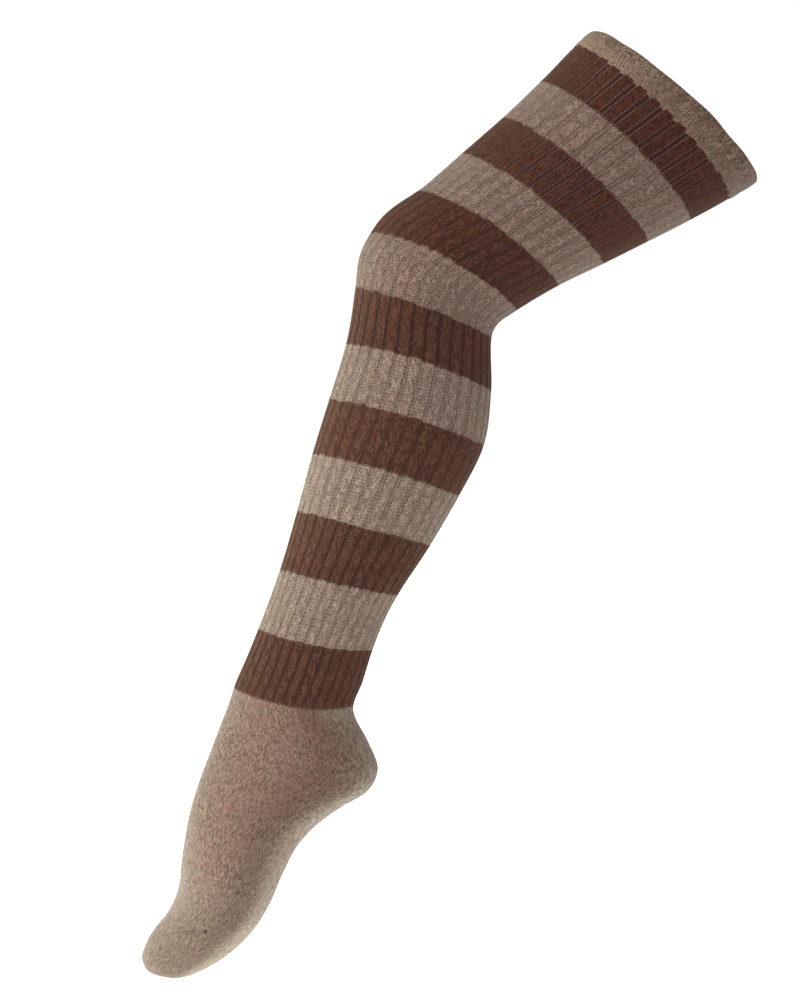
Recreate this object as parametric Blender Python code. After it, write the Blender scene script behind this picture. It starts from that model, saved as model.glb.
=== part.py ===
"""An over-the-knee sock in striped rib knit, hollow and filled out as a leg holds it.

The sock is built as it stands when it is seen from the side. +X points to the back of the thigh, -X to
the shin and the toes, +Z is up, and the left and right of the leg are alike across Y = 0. The origin is
the middle of the leg opening.

The cloth is one tube of thin wall. Each row of SECTIONS is a course of the knitting that runs round the
leg, given by its foremost and hindmost points, and the surface between the rows is a smooth curve
through them. A new yarn or a new piece starts at each row that has a name.
"""

import math
from collections import namedtuple

import bmesh
import bpy
import numpy as np

MM = 0.001                       # every size below is in millimetres

WALL = 2.2                       # the knitted cloth, from its inside to the crest of a rib
WELT_STEP = 0.9                  # how far the hem, folded double, stands out from the leg
WELT_ROLL_STEPS = 4              # flats over the round top of the hem
WELT_UNDERCUT = 1.6              # height over which the hem rounds in to its linking line
WELT_POINTS = 68                 # round the hem
SEAM_GAP = 0.3                   # between a piece and the next
RIBS = 34                        # round the leg
RIB_CREST = 0.58                 # share of a rib that is raised
FOOT_POINTS = 48                 # round the plain knit of the foot
LONG_SECTION = 1.2               # depth over width, past which a section is fuller at its ends
FULLNESS = 0.055                 # how fast it fills out past that, for each unit of depth over width
TIP_SHARE = 0.9                  # where the last ring stands between the last row and the toe's tip
PROBE = 0.01                     # step for the slopes of the surface

# front and back: the foremost and hindmost points of the course, in X and Z
# half_width: half the leg's width along Y
# bow: how far the course rises towards the opening at the sides of the leg
# rib: depth of the furrows between the ribs
# sole: how much wider the back or sole side of the section is than its front side
# steps: flats along the leg to the next row
Section = namedtuple("Section", "starts front back half_width bow rib sole steps")
SECTIONS = [
    Section("welt",          (-66.0, 59.0),     (66.0, -59.0),    81.0,  0.0, 0.0, 0.00, 2),
    Section("thigh_brown_1", (-78.5, 48.5),     (48.0, -70.5),    79.5, -2.5, 0.6, 0.00, 1),
    Section("thigh_beige_1", (-102.5, 24.0),    (13.0, -90.0),    76.0, -2.0, 0.7, 0.00, 1),
    Section("thigh_brown_2", (-132.0, -4.5),    (-19.5, -106.5),  72.0, -1.5, 0.7, 0.00, 1),
    Section("thigh_beige_2", (-165.5, -34.0),   (-56.5, -125.0),  68.5,  0.0, 0.7, 0.00, 1),
    Section("thigh_brown_3", (-197.5, -62.0),   (-91.5, -142.0),  65.0,  0.0, 0.8, 0.00, 2),
    Section("knee_beige",    (-238.5, -95.0),   (-127.5, -163.5), 60.5,  3.0, 0.8, 0.00, 2),
    Section("",              (-251.0, -119.0),  (-139.5, -172.0), 57.0,  1.5, 0.7, 0.00, 2),
    Section("calf_brown_1",  (-254.5, -146.0),  (-145.0, -181.0), 54.5,  0.0, 0.9, 0.00, 2),
    Section("calf_beige_1",  (-261.0, -186.0),  (-146.0, -226.5), 53.5,  1.5, 1.0, 0.00, 2),
    Section("calf_brown_2",  (-275.0, -232.5),  (-152.0, -270.5), 55.0,  3.0, 1.0, 0.00, 2),
    Section("calf_beige_2",  (-287.5, -273.0),  (-172.5, -312.0), 53.5,  2.0, 1.0, 0.00, 2),
    Section("calf_brown_3",  (-301.5, -324.5),  (-195.5, -351.5), 49.0,  3.0, 1.0, 0.00, 1),
    Section("calf_beige_3",  (-314.0, -367.5),  (-223.0, -394.0), 43.0,  1.0, 1.0, 0.00, 2),
    Section("ankle_brown",   (-333.0, -419.5),  (-241.0, -434.5), 37.5, -0.5, 1.0, 0.00, 1),
    Section("",              (-341.5, -440.5),  (-248.5, -458.5), 36.0, -2.0, 1.0, 0.00, 1),
    Section("heel",          (-350.5, -461.0),  (-256.0, -483.0), 35.0, -4.5, 0.0, 0.00, 2),
    Section("",              (-356.5, -479.0),  (-244.0, -508.0), 34.0, -3.0, 0.0, 0.04, 2),
    Section("",              (-362.0, -493.0),  (-236.5, -528.5), 33.5, -1.5, 0.0, 0.08, 2),
    Section("",              (-367.5, -507.5),  (-244.0, -546.0), 33.5,  0.0, 0.0, 0.10, 2),
    Section("foot",          (-373.0, -522.0),  (-265.0, -559.0), 34.0,  0.0, 0.0, 0.10, 1),
    Section("",              (-379.5, -539.5),  (-285.0, -573.5), 35.0,  0.0, 0.0, 0.10, 1),
    Section("",              (-386.0, -560.5),  (-298.5, -587.5), 36.5,  0.0, 0.0, 0.10, 2),
    Section("",              (-392.5, -595.5),  (-312.0, -611.5), 38.5,  0.0, 0.0, 0.10, 2),
    Section("",              (-397.0, -627.5),  (-323.5, -638.0), 39.0,  0.0, 0.0, 0.08, 1),
    Section("toe",           (-404.5, -643.5),  (-332.5, -653.0), 38.0,  0.0, 0.0, 0.06, 1),
    Section("",              (-415.0, -656.5),  (-342.0, -664.5), 36.0,  0.0, 0.0, 0.04, 1),
    Section("",              (-422.0, -669.0),  (-357.0, -678.0), 31.0,  0.0, 0.0, 0.02, 1),
    Section("",              (-425.0, -680.5),  (-375.0, -689.0), 24.5,  0.0, 0.0, 0.00, 1),
    Section("",              (-421.0, -689.5),  (-388.5, -694.5), 16.0,  0.0, 0.0, 0.00, 1),
    Section("tip",           (-406.0, -695.5),  (-404.5, -696.0),  0.6,  0.0, 0.0, 0.00, 0),
]

BROWN = (0.105, 0.046, 0.030)
BEIGE = (0.302, 0.241, 0.188)
ROUGHNESS = 0.95
SMOOTH_ANGLE = math.radians(40)


def column(name):
    """One column of the table, a row for each section."""
    return np.array([getattr(section, name) for section in SECTIONS], float)


FRONTS = column("front")
BACKS = column("back")
CENTRES = (FRONTS + BACKS) / 2
STATIONS = np.concatenate([[0], np.cumsum(np.linalg.norm(np.diff(CENTRES, axis=0), axis=1))])
TABLE = np.column_stack([FRONTS, BACKS, column("half_width"), column("bow"), column("sole")])
SLOPES = np.gradient(TABLE, STATIONS, axis=0)
RIB_DEPTHS = column("rib")


def between_rows(station):
    """The table's numbers at each station along the leg, on a smooth cubic through the rows."""
    row = np.clip(np.searchsorted(STATIONS, station, side="right") - 1, 0, len(STATIONS) - 2)
    length = (STATIONS[row + 1] - STATIONS[row])[:, None]
    t = (station[:, None] - STATIONS[row][:, None]) / length
    from_start = (1 + 2 * t) * (1 - t) ** 2 * TABLE[row] + t * (1 - t) ** 2 * length * SLOPES[row]
    from_end = t * t * (3 - 2 * t) * TABLE[row + 1] + t * t * (t - 1) * length * SLOPES[row + 1]
    return from_start + from_end


def figure(station, angle):
    """Points of the filled-out leg, at stations along it and angles round it from its front."""
    station, angle = np.broadcast_arrays(np.asarray(station, float), np.asarray(angle, float))
    shape = station.shape
    numbers = between_rows(station.ravel())
    angle = angle.ravel()
    front, back = numbers[:, 0:2], numbers[:, 2:4]
    half_width, bow, sole = numbers[:, 4], numbers[:, 5], numbers[:, 6]
    centre = (front + back) / 2
    reach = (front - back) / 2
    half_depth = np.linalg.norm(reach, axis=1)
    to_opening = np.column_stack([reach[:, 1], -reach[:, 0]]) / half_depth[:, None]
    full = FULLNESS * np.clip(half_depth / half_width - LONG_SECTION, 0, 1)
    forward = (np.cos(angle) - full * np.cos(3 * angle)) / (1 - full)
    sideways = (np.sin(angle) + full * np.sin(3 * angle)) / (1 - full)
    in_plane = centre + reach * forward[:, None] + to_opening * (bow * np.sin(angle) ** 2)[:, None]
    across = half_width * sideways * (1 - sole * np.cos(angle))
    return np.column_stack([in_plane[:, 0], across, in_plane[:, 1]]).reshape(shape + (3,))


def unit(vectors):
    return vectors / np.linalg.norm(vectors, axis=-1, keepdims=True)


def cloth(station, angle, lift, along=0.0):
    """Points at a height over the figure, moved a little along the leg towards the toe."""
    down = figure(np.add(station, PROBE), angle) - figure(np.subtract(station, PROBE), angle)
    around = figure(station, np.add(angle, PROBE)) - figure(station, np.subtract(angle, PROBE))
    outward = unit(np.cross(around, down))
    return figure(station, angle) + outward * np.expand_dims(lift, -1) + unit(down) * along


def turn(points):
    """Angles of that many points round the leg."""
    return np.arange(points) * 2 * math.pi / points


def rib_turn():
    """Three angles a rib: the bottom of its furrow and the two edges of its crest."""
    pitch = 2 * math.pi / RIBS
    bank = pitch * (1 - RIB_CREST) / 2
    return (turn(RIBS)[:, None] + np.array([0, bank, pitch - bank])).ravel()


def station_steps(first, last):
    """Stations from one row to another, with each row's own steps."""
    steps = [STATIONS[first]]
    for row in range(first, last):
        count = SECTIONS[row].steps
        steps.extend(STATIONS[row] + (STATIONS[row + 1] - STATIONS[row]) * k / count
                     for k in range(1, count + 1))
    return np.array(steps)


def end_shifts(count, closed_end=False):
    """Half a seam's gap, off the first ring and off the last one."""
    shifts = np.zeros(count)
    shifts[0] = SEAM_GAP / 2
    if not closed_end:
        shifts[-1] = -SEAM_GAP / 2
    return shifts


def add_ring(mesh, points):
    return [mesh.verts.new(point * MM) for point in points]


def join_rings(mesh, ring, following):
    """A face between each two neighbours of two rings with as many points."""
    for k in range(len(ring)):
        after = (k + 1) % len(ring)
        mesh.faces.new((ring[k], ring[after], following[after], following[k]))


def close_end(mesh, outer, inner):
    """The cut edge of the cloth, between an outer ring and an inner one with fewer points."""
    share = len(outer) // len(inner)
    for k in range(len(inner)):
        after = (k + 1) % len(inner)
        bank = [outer[(share * k + step) % len(outer)] for step in range(share + 1)]
        mesh.faces.new([inner[k], *bank, inner[after]])


def add_object(name, mesh, material):
    """A named object of a finished body, with its faces out."""
    bmesh.ops.recalc_face_normals(mesh, faces=mesh.faces)
    data = bpy.data.meshes.new(name)
    mesh.to_mesh(data)
    mesh.free()
    data.shade_smooth()
    data.set_sharp_from_angle(angle=SMOOTH_ANGLE)
    data.materials.append(material)
    item = bpy.data.objects.new(name, data)
    bpy.context.scene.collection.objects.link(item)
    return item


def add_ribbed_band(name, first, last, material):
    """A ring of rib knit: furrows in its outer points over a plain inside."""
    mesh = bmesh.new()
    stations = station_steps(first, last)
    outer_rings = []
    inner_rings = []
    for station, shift in zip(stations, end_shifts(len(stations))):
        furrow = np.interp(station, STATIONS, RIB_DEPTHS)
        lifts = np.tile([-furrow, 0, 0], RIBS)
        outer_rings.append(add_ring(mesh, cloth(station, rib_turn(), lifts, shift)))
        inner_rings.append(add_ring(mesh, cloth(station, turn(RIBS), np.full(RIBS, -WALL), shift)))
    for rings in (outer_rings, inner_rings):
        for ring, following in zip(rings, rings[1:]):
            join_rings(mesh, ring, following)
    for end in (0, -1):
        close_end(mesh, outer_rings[end], inner_rings[end])
    return add_object(name, mesh, material)


def add_plain_band(name, first, last, material, closed_end=False):
    """A ring of plain knit, or with a closed end the cap that holds the toes."""
    mesh = bmesh.new()
    stations = station_steps(first, last)
    if closed_end:
        stations[-1] = STATIONS[last - 1] + (STATIONS[last] - STATIONS[last - 1]) * TIP_SHARE
    shifts = end_shifts(len(stations), closed_end)
    for lift in (0.0, -WALL):
        lifts = np.full(FOOT_POINTS, lift)
        rings = [add_ring(mesh, cloth(station, turn(FOOT_POINTS), lifts, shift))
                 for station, shift in zip(stations, shifts)]
        for ring, following in zip(rings, rings[1:]):
            join_rings(mesh, ring, following)
        if closed_end:
            mesh.faces.new(rings[-1])
        if lift == 0.0:
            outer_rings = rings
    close_end(mesh, outer_rings[0], rings[0])
    if not closed_end:
        close_end(mesh, outer_rings[-1], rings[-1])
    return add_object(name, mesh, material)


def welt_profile():
    """The hem's cut: station and height, from its foot outside, over the round top, to its foot inside."""
    foot = STATIONS[1]
    radius = (WALL + WELT_STEP) / 2
    arc = np.linspace(0, math.pi, WELT_ROLL_STEPS + 1)
    top = np.column_stack([radius - radius * np.sin(arc), WELT_STEP - radius + radius * np.cos(arc)])
    outside = [(foot, 0.0), (foot - WELT_UNDERCUT, WELT_STEP)]
    return np.vstack([outside, top, [(foot, -WALL)]])


def add_welt(name, material):
    """The hem, a loop of double cloth swept round the opening."""
    mesh = bmesh.new()
    profile = welt_profile()
    shifts = np.zeros(len(profile))
    shifts[[0, -1]] = -SEAM_GAP / 2
    rings = [add_ring(mesh, cloth(station, turn(WELT_POINTS), np.full(WELT_POINTS, lift), shift))
             for (station, lift), shift in zip(profile, shifts)]
    for ring, following in zip(rings, rings[1:] + rings[:1]):
        join_rings(mesh, ring, following)
    return add_object(name, mesh, material)


def add_yarn(name, colour):
    material = bpy.data.materials.new(name)
    material.use_nodes = True
    shader = material.node_tree.nodes["Principled BSDF"]
    shader.inputs["Base Color"].default_value = (*colour, 1)
    shader.inputs["Roughness"].default_value = ROUGHNESS
    shader.inputs["Metallic"].default_value = 0
    return material


def clear_scene():
    for item in list(bpy.data.objects):
        bpy.data.objects.remove(item, do_unlink=True)


def build():
    clear_scene()
    starts = [row for row, section in enumerate(SECTIONS) if section.starts]
    for first, last in zip(starts, starts[1:]):
        name = SECTIONS[first].starts
        material = add_yarn(name + "_yarn", BROWN if "brown" in name else BEIGE)
        if name == "welt":
            add_welt(name, material)
        elif name in ("heel", "foot", "toe"):
            add_plain_band(name, first, last, material, closed_end=name == "toe")
        else:
            add_ribbed_band(name, first, last, material)


build()
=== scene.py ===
import math
from functools import partial
import bpy
import numpy as np
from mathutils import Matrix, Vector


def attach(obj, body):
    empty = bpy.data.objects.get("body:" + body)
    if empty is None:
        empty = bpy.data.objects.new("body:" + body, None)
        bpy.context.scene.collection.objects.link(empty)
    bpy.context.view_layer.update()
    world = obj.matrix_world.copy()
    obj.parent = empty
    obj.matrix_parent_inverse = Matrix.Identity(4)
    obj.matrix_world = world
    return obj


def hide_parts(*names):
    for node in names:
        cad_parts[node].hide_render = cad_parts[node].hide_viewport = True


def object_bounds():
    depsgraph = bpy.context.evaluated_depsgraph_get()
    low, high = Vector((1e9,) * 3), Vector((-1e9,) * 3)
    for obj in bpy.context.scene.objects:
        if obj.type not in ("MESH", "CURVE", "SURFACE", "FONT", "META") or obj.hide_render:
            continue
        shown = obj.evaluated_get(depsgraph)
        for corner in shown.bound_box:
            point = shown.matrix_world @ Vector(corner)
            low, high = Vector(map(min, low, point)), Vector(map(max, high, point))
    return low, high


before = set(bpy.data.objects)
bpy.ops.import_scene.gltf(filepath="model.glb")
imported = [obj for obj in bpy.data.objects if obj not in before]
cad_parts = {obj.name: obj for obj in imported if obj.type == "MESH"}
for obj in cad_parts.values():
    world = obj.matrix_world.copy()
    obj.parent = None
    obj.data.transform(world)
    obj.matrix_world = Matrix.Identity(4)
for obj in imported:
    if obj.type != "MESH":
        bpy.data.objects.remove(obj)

# A filled-out over-the-knee sock in striped rib knit, seen from its side: +X to the back of the thigh, -X
# to the shin and the toes, +Z up. The surfaces are worked out in millimetres.

mm = 0.001
cadBox = [list(corner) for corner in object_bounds()]
print("frame:", len(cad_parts), "nodes")


# camera, light and floor

picture = {
    "high": 1000, "mmPerPixel": 0.8, "sensor": 36,    # the picture's height in pixels
    "middleX": -218.8, "middleZ": -314.0, "distance": 1950.0,
}
studio = {
    "world": 0.60, "backdrop": 1.1,        # what lights the sock, and what the camera sees behind it
    "key": 4.4, "keyFrom": (-1.0, -0.15, 0.0), "keySoft": 50,
    "back": 0.8, "backFrom": (0.2, 1.0, 0.35), "backSoft": 60,
    "floorDrop": 250.0, "floorSize": 400.0,    # millimetres under the sock, metres across
    "floorColour": (0.80, 0.80, 0.80), "floorGlow": 0.85, "floorRoughness": 0.9,
}
# soft boxes by their watts, side in metres, place and where they face
boxes = {
    "frontBox": (7.0, 0.6, (-0.35, -1.00, -0.85), (-0.33, 0.0, -0.50)),
    "rearBox":  (6.0, 0.6, (-1.00, 0.60, -0.70), (-0.33, 0.0, -0.50)),
    "tableBox": (2.0, 0.6, (-0.30, 0.12, -0.93), (-0.30, 0.0, -0.30)),
}


def addCamera(look):
    # the long side of the sensor spans the picture's height at the distance of the sock
    data = bpy.data.cameras.new("camera")
    data.sensor_width = look["sensor"]
    data.lens = data.sensor_width * look["distance"] / (look["high"] * look["mmPerPixel"])
    camera = bpy.data.objects.new("camera", data)
    camera.location = (look["middleX"] * mm, -look["distance"] * mm, look["middleZ"] * mm)
    camera.rotation_euler = (math.pi / 2, 0, 0)
    bpy.context.scene.collection.objects.link(camera)
    bpy.context.scene.camera = camera


def faceAlong(x, y, z):
    # a lamp's tilt from the vertical, and its bearing
    return (math.atan2(math.hypot(x, y), z), 0, math.atan2(x, -y))


def addLamp(name, kind, fromSide, **settings):
    # a lamp whose light comes from that side
    data = bpy.data.lights.new(name, kind)
    for setting, value in settings.items():
        setattr(data, setting, value)
    lamp = bpy.data.objects.new(name, data)
    lamp.rotation_euler = faceAlong(*fromSide)
    bpy.context.scene.collection.objects.link(lamp)
    return lamp


def addWorld(look):
    # white all round, a little brighter where it is seen as the backdrop
    world = bpy.data.worlds.new("studio")
    bpy.context.scene.world = world
    world.use_nodes = True
    tree = world.node_tree
    background = tree.nodes["Background"]
    background.inputs["Color"].default_value = (1, 1, 1, 1)
    path = tree.nodes.new("ShaderNodeLightPath")
    strength = tree.nodes.new("ShaderNodeMapRange")
    strength.inputs["To Min"].default_value = look["world"]
    strength.inputs["To Max"].default_value = look["backdrop"]
    tree.links.new(path.outputs["Is Camera Ray"], strength.inputs["Value"])
    tree.links.new(strength.outputs["Result"], background.inputs["Strength"])


def addFloor(look):
    # one pale square under the sock
    half = look["floorSize"] / 2
    z = cadBox[0][2] - look["floorDrop"] * mm
    corners = [(-half, -half, z), (half, -half, z), (half, half, z), (-half, half, z)]
    mesh = bpy.data.meshes.new("floor")
    mesh.from_pydata(corners, [], [(0, 1, 2, 3)])
    floor = bpy.data.objects.new("floor", mesh)
    bpy.context.scene.collection.objects.link(floor)
    # it glows, but the sock's light comes from the lamps
    floor.visible_diffuse = False
    floor.visible_glossy = False
    paint = bpy.data.materials.new("floorPaint")
    paint.use_nodes = True
    shader = paint.node_tree.nodes["Principled BSDF"]
    for name, value in (("Base Color", (*look["floorColour"], 1)), ("Roughness", look["floorRoughness"]),
                        ("Emission Color", (1, 1, 1, 1)), ("Emission Strength", look["floorGlow"])):
        shader.inputs[name].default_value = value
    mesh.materials.append(paint)


addCamera(picture)
addWorld(studio)
for name in ("key", "back"):
    soft = math.radians(studio[name + "Soft"])
    addLamp(name, "SUN", studio[name + "From"], energy=studio[name], angle=soft)
for name, (watts, side, at, towards) in boxes.items():
    fromSide = [start - end for start, end in zip(at, towards)]
    box = addLamp(name, "AREA", fromSide, shape="SQUARE", size=side, energy=watts)
    box.location = at
    box.visible_camera = False
addFloor(studio)
bpy.context.scene.view_settings.view_transform = "Standard"
print("camera, light and floor")


# the leg's shape

# A row for each course that shapes the leg: the piece that starts there, its foremost and hindmost points
# in X and Z, half its width along Y, how far its sides bow towards the opening, and how much wider its sole
# side is than its front.
legRows = [
    ("welt",          -66.0,   59.0,   66.0,  -59.0, 81.0,  0.0, 0.00),
    ("thigh_brown_1", -78.5,   48.5,   48.0,  -70.5, 79.5, -2.5, 0.00),
    ("thigh_beige_1", -102.5,  24.0,   13.0,  -90.0, 76.0, -2.0, 0.00),
    ("thigh_brown_2", -132.0,  -4.5,  -19.5, -106.5, 72.0, -1.5, 0.00),
    ("thigh_beige_2", -165.5, -34.0,  -56.5, -125.0, 68.5,  0.0, 0.00),
    ("thigh_brown_3", -197.5, -62.0,  -91.5, -142.0, 65.0,  0.0, 0.00),
    ("knee_beige",    -238.5, -95.0, -127.5, -163.5, 60.5,  3.0, 0.00),
    ("",              -251.0, -119.0, -139.5, -172.0, 57.0,  1.5, 0.00),
    ("calf_brown_1",  -254.5, -146.0, -145.0, -181.0, 54.5,  0.0, 0.00),
    ("calf_beige_1",  -261.0, -186.0, -146.0, -226.5, 53.5,  1.5, 0.00),
    ("calf_brown_2",  -275.0, -232.5, -152.0, -270.5, 55.0,  3.0, 0.00),
    ("calf_beige_2",  -287.5, -273.0, -172.5, -312.0, 53.5,  2.0, 0.00),
    ("calf_brown_3",  -301.5, -324.5, -195.5, -351.5, 49.0,  3.0, 0.00),
    ("calf_beige_3",  -314.0, -367.5, -223.0, -394.0, 43.0,  1.0, 0.00),
    ("ankle_brown",   -333.0, -419.5, -241.0, -434.5, 37.5, -0.5, 0.00),
    ("",              -341.5, -440.5, -248.5, -458.5, 36.0, -2.0, 0.00),
    ("heel",          -350.5, -461.0, -256.0, -483.0, 35.0, -4.5, 0.00),
    ("",              -356.5, -479.0, -244.0, -508.0, 34.0, -3.0, 0.04),
    ("",              -362.0, -493.0, -236.5, -528.5, 33.5, -1.5, 0.08),
    ("",              -367.5, -507.5, -244.0, -546.0, 33.5,  0.0, 0.10),
    ("foot",          -373.0, -522.0, -265.0, -559.0, 34.0,  0.0, 0.10),
    ("",              -379.5, -539.5, -285.0, -573.5, 35.0,  0.0, 0.10),
    ("",              -386.0, -560.5, -298.5, -587.5, 36.5,  0.0, 0.10),
    ("",              -392.5, -595.5, -312.0, -611.5, 38.5,  0.0, 0.10),
    ("",              -397.0, -627.5, -323.5, -638.0, 39.0,  0.0, 0.08),
    ("toe",           -404.5, -643.5, -332.5, -653.0, 38.0,  0.0, 0.06),
    ("",              -415.0, -656.5, -342.0, -664.5, 36.0,  0.0, 0.04),
    ("",              -422.0, -669.0, -357.0, -678.0, 31.0,  0.0, 0.02),
    ("",              -425.0, -680.5, -375.0, -689.0, 24.5,  0.0, 0.00),
    ("",              -421.0, -689.5, -388.5, -694.5, 16.0,  0.0, 0.00),
    ("tip",           -406.0, -695.5, -404.5, -696.0,  0.6,  0.0, 0.00),
]
# a section deeper than this share of its width is fuller at its ends, at this rate
fullness = {"past": 1.2, "rate": 0.055}
slopeStep = 0.01    # millimetres along the leg and radians round it

legTable = np.array([row[1:] for row in legRows])
# a row's station is how far along the leg's side it lies
middles = (legTable[:, 0:2] + legTable[:, 2:4]) / 2
strides = np.linalg.norm(np.diff(np.column_stack([middles, legTable[:, 4]]), axis=0), axis=1)
stations = np.concatenate([[0], np.cumsum(strides)])
legSlopes = np.gradient(legTable, stations, axis=0)
starts = {row[0]: number for number, row in enumerate(legRows) if row[0]}


def alongLeg(station):
    # a cubic through each two rows that keeps their slopes, each row and each slope by its share
    row = np.clip(np.searchsorted(stations, station, side="right") - 1, 0, len(stations) - 2)
    length = (stations[row + 1] - stations[row])[..., None]
    t = (station - stations[row])[..., None] / length
    early = (1 + 2 * t) * (1 - t) ** 2 * legTable[row] + t * (1 - t) ** 2 * length * legSlopes[row]
    late = t * t * (3 - 2 * t) * legTable[row + 1] + t * t * (t - 1) * length * legSlopes[row + 1]
    return early + late


def legPoint(station, angle):
    # an oval from the row's front and back points and its width, with a little of its third harmonic
    # where it is long, its sides bowed by the square of the sine and its sole side widened by the cosine
    numbers = alongLeg(station)
    front, back = numbers[..., 0:2], numbers[..., 2:4]
    halfWidth, bow, sole = numbers[..., 4], numbers[..., 5], numbers[..., 6]
    reach = (front - back) / 2
    halfDepth = np.linalg.norm(reach, axis=-1)
    toOpening = np.stack([reach[..., 1], -reach[..., 0]], -1) / halfDepth[..., None]
    full = fullness["rate"] * np.clip(halfDepth / halfWidth - fullness["past"], 0, 1)
    forward = (np.cos(angle) - full * np.cos(3 * angle)) / (1 - full)
    sideways = (np.sin(angle) + full * np.sin(3 * angle)) / (1 - full)
    bowed = toOpening * (bow * np.sin(angle) ** 2)[..., None]
    flat = (front + back) / 2 + reach * forward[..., None] + bowed
    across = halfWidth * sideways * (1 - sole * np.cos(angle))
    return np.stack([flat[..., 0], across, flat[..., 1]], -1)


def cloth(station, angle, lift):
    # a point of the leg's surface, moved out along the cross product of its two slopes
    down = legPoint(station + slopeStep, angle) - legPoint(station - slopeStep, angle)
    around = legPoint(station, angle + slopeStep) - legPoint(station, angle - slopeStep)
    outward = np.cross(around, down)
    outward /= np.linalg.norm(outward, axis=-1, keepdims=True)
    return legPoint(station, angle) + outward * lift[..., None]


# the knitting

knit = {
    "ribs": 34, "walesPerRib": 6, "columnsPerWale": 2,
    "stripeCourses": 17, "hemCourses": 8, "wall": 2.2,
    "footCourse": 1.7,                     # height of a course of the plain foot
    "cord": 0.12, "footCord": 0.05,        # how far a wale stands, on the ribs and on the foot
    "pebble": 0.05, "footPebble": 0.04,    # how far the middle of a course swells
    "crown": 0.30,                         # how far a rib's middle stands, as a share of its furrow's depth
    "furrowCord": 0.5,                     # the share that a wale's cord loses in a furrow
    "tooth": 0.42, "toothFoot": 0.4,       # how far a stitch's legs fall, and the share lost on the foot
    "hangPower": 1.3,                      # how a stripe's edge hangs, as a power of the cosine
    "edgeReach": 6.0,                      # how far from a stripe's edge its scallops fade
    "scallopLevel": 0.35, "scallops": (0.45, 1.35),
    "uneven": 0.40, "ragged": 0.20,        # how much the edge wanders from rib to rib and wale to wale
    "ribEnd": 4, "joinCalm": 40,           # how ribs turn plain, and the swell fades at the foot's joins
    "tipFlat": 2, "tipFade": 20, "tipPrick": 0.3,    # how all fades at the tip
    "insideStep": 8.0,                     # length of the plain inside's faces along the leg
    "ringPoints": 721, "tableStep": 4.0,
}
# in wales from the middle of a furrow: its flat and bank, half a crest, and where the ladder's rails end
profile = {"flat": 0.25, "bank": 1.2, "crest": 2.2, "railsEnd": 1.6, "railsFade": 0.6}
# down the leg, how many ribs the knitting is turned at the front, and how much of a rib its furrow takes
spin = {
    "station": (0, 200, 240, 280, 340, 430, 510, 600),
    "ribs": (2.0, 1.95, 1.05, 0.6, 0.2, 0.15, 0.45, 0.4),
}
pinch = {"station": (30, 160, 570, 600), "share": (0.285, 0.22, 0.22, 0.333)}

# For each band, how far its first course hangs towards the toes at the front, the sides and the back, and
# how much further in its furrows. Then the depth of its furrows, all in millimetres, the strength of its
# ladders of held stitches, of the painted shade in its furrows and of the pricks between its wales, and how
# bright its yarn is: partly painted light, brighter down the leg, and partly darker where the cloth is more
# stretched.
bandRows = {
    "welt":          (0.0,  0.0,  0.0,  0.0, 0.10, 0.00, 0.10, 0.80, 0.69),
    "thigh_brown_1": (1.5, -0.3,  4.5,  1.4, 0.15, 1.00, 0.25, 0.40, 0.50),
    "thigh_beige_1": (7.5, -0.8,  0.5, -0.6, 0.20, 0.85, 0.30, 0.85, 0.80),
    "thigh_brown_2": (7.0,  0.3,  2.2,  0.6, 0.20, 0.60, 0.35, 0.45, 0.62),
    "thigh_beige_2": (6.0,  0.1,  0.5, -0.4, 0.25, 0.85, 0.35, 0.85, 0.88),
    "thigh_brown_3": (8.8,  0.0,  1.0,  0.4, 0.35, 0.08, 0.65, 0.80, 0.70),
    "knee_beige":    (6.0,  0.3, -3.0,  0.4, 0.35, 0.45, 0.35, 0.95, 0.86),
    "calf_brown_1":  (-0.7, 0.1,  5.5,  0.4, 0.60, 0.00, 0.80, 0.80, 0.86),
    "calf_beige_1":  (4.2,  0.4,  0.8,  0.4, 0.35, 0.80, 0.45, 0.85, 1.02),
    "calf_brown_2":  (1.2,  0.6,  0.0,  0.4, 0.45, 0.00, 0.55, 0.80, 0.99),
    "calf_beige_2":  (4.2,  0.7, -1.5,  0.4, 0.35, 0.80, 0.45, 0.85, 1.18),
    "calf_brown_3":  (-1.8, 0.4, -0.9,  0.4, 0.55, 0.00, 0.75, 0.75, 1.04),
    "calf_beige_3":  (2.3,  0.2, -4.2,  0.4, 0.40, 0.55, 0.50, 0.80, 1.21),
    "ankle_brown":   (-2.6, 0.5, -0.5,  0.4, 0.55, 0.00, 0.75, 0.75, 1.04),
    "heel":          (3.3,  0.4, -4.6,  0.0, 0.00, 0.00, 0.00, 0.30, 0.88),
    "foot":          (0.0,  0.0,  0.0,  0.0, 0.00, 0.00, 0.00, 0.30, 1.09),
    "toe":           (0.0,  0.0,  0.0,  0.0, 0.00, 0.00, 0.00, 0.30, 1.12),
    "tip":           (0.0,  0.0,  0.0,  0.0, 0.00, 0.00, 0.00, 0.30, 1.12),
}
names = list(bandRows)
plainNames = ("heel", "foot", "toe")
firstStations = np.array([stations[starts[name]] for name in names])
bandMiddles = (firstStations[:-1] + firstStations[1:]) / 2
heelStart, footStart, toeStart, tipStation = (stations[starts[name]] for name in (*plainNames, "tip"))

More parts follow.
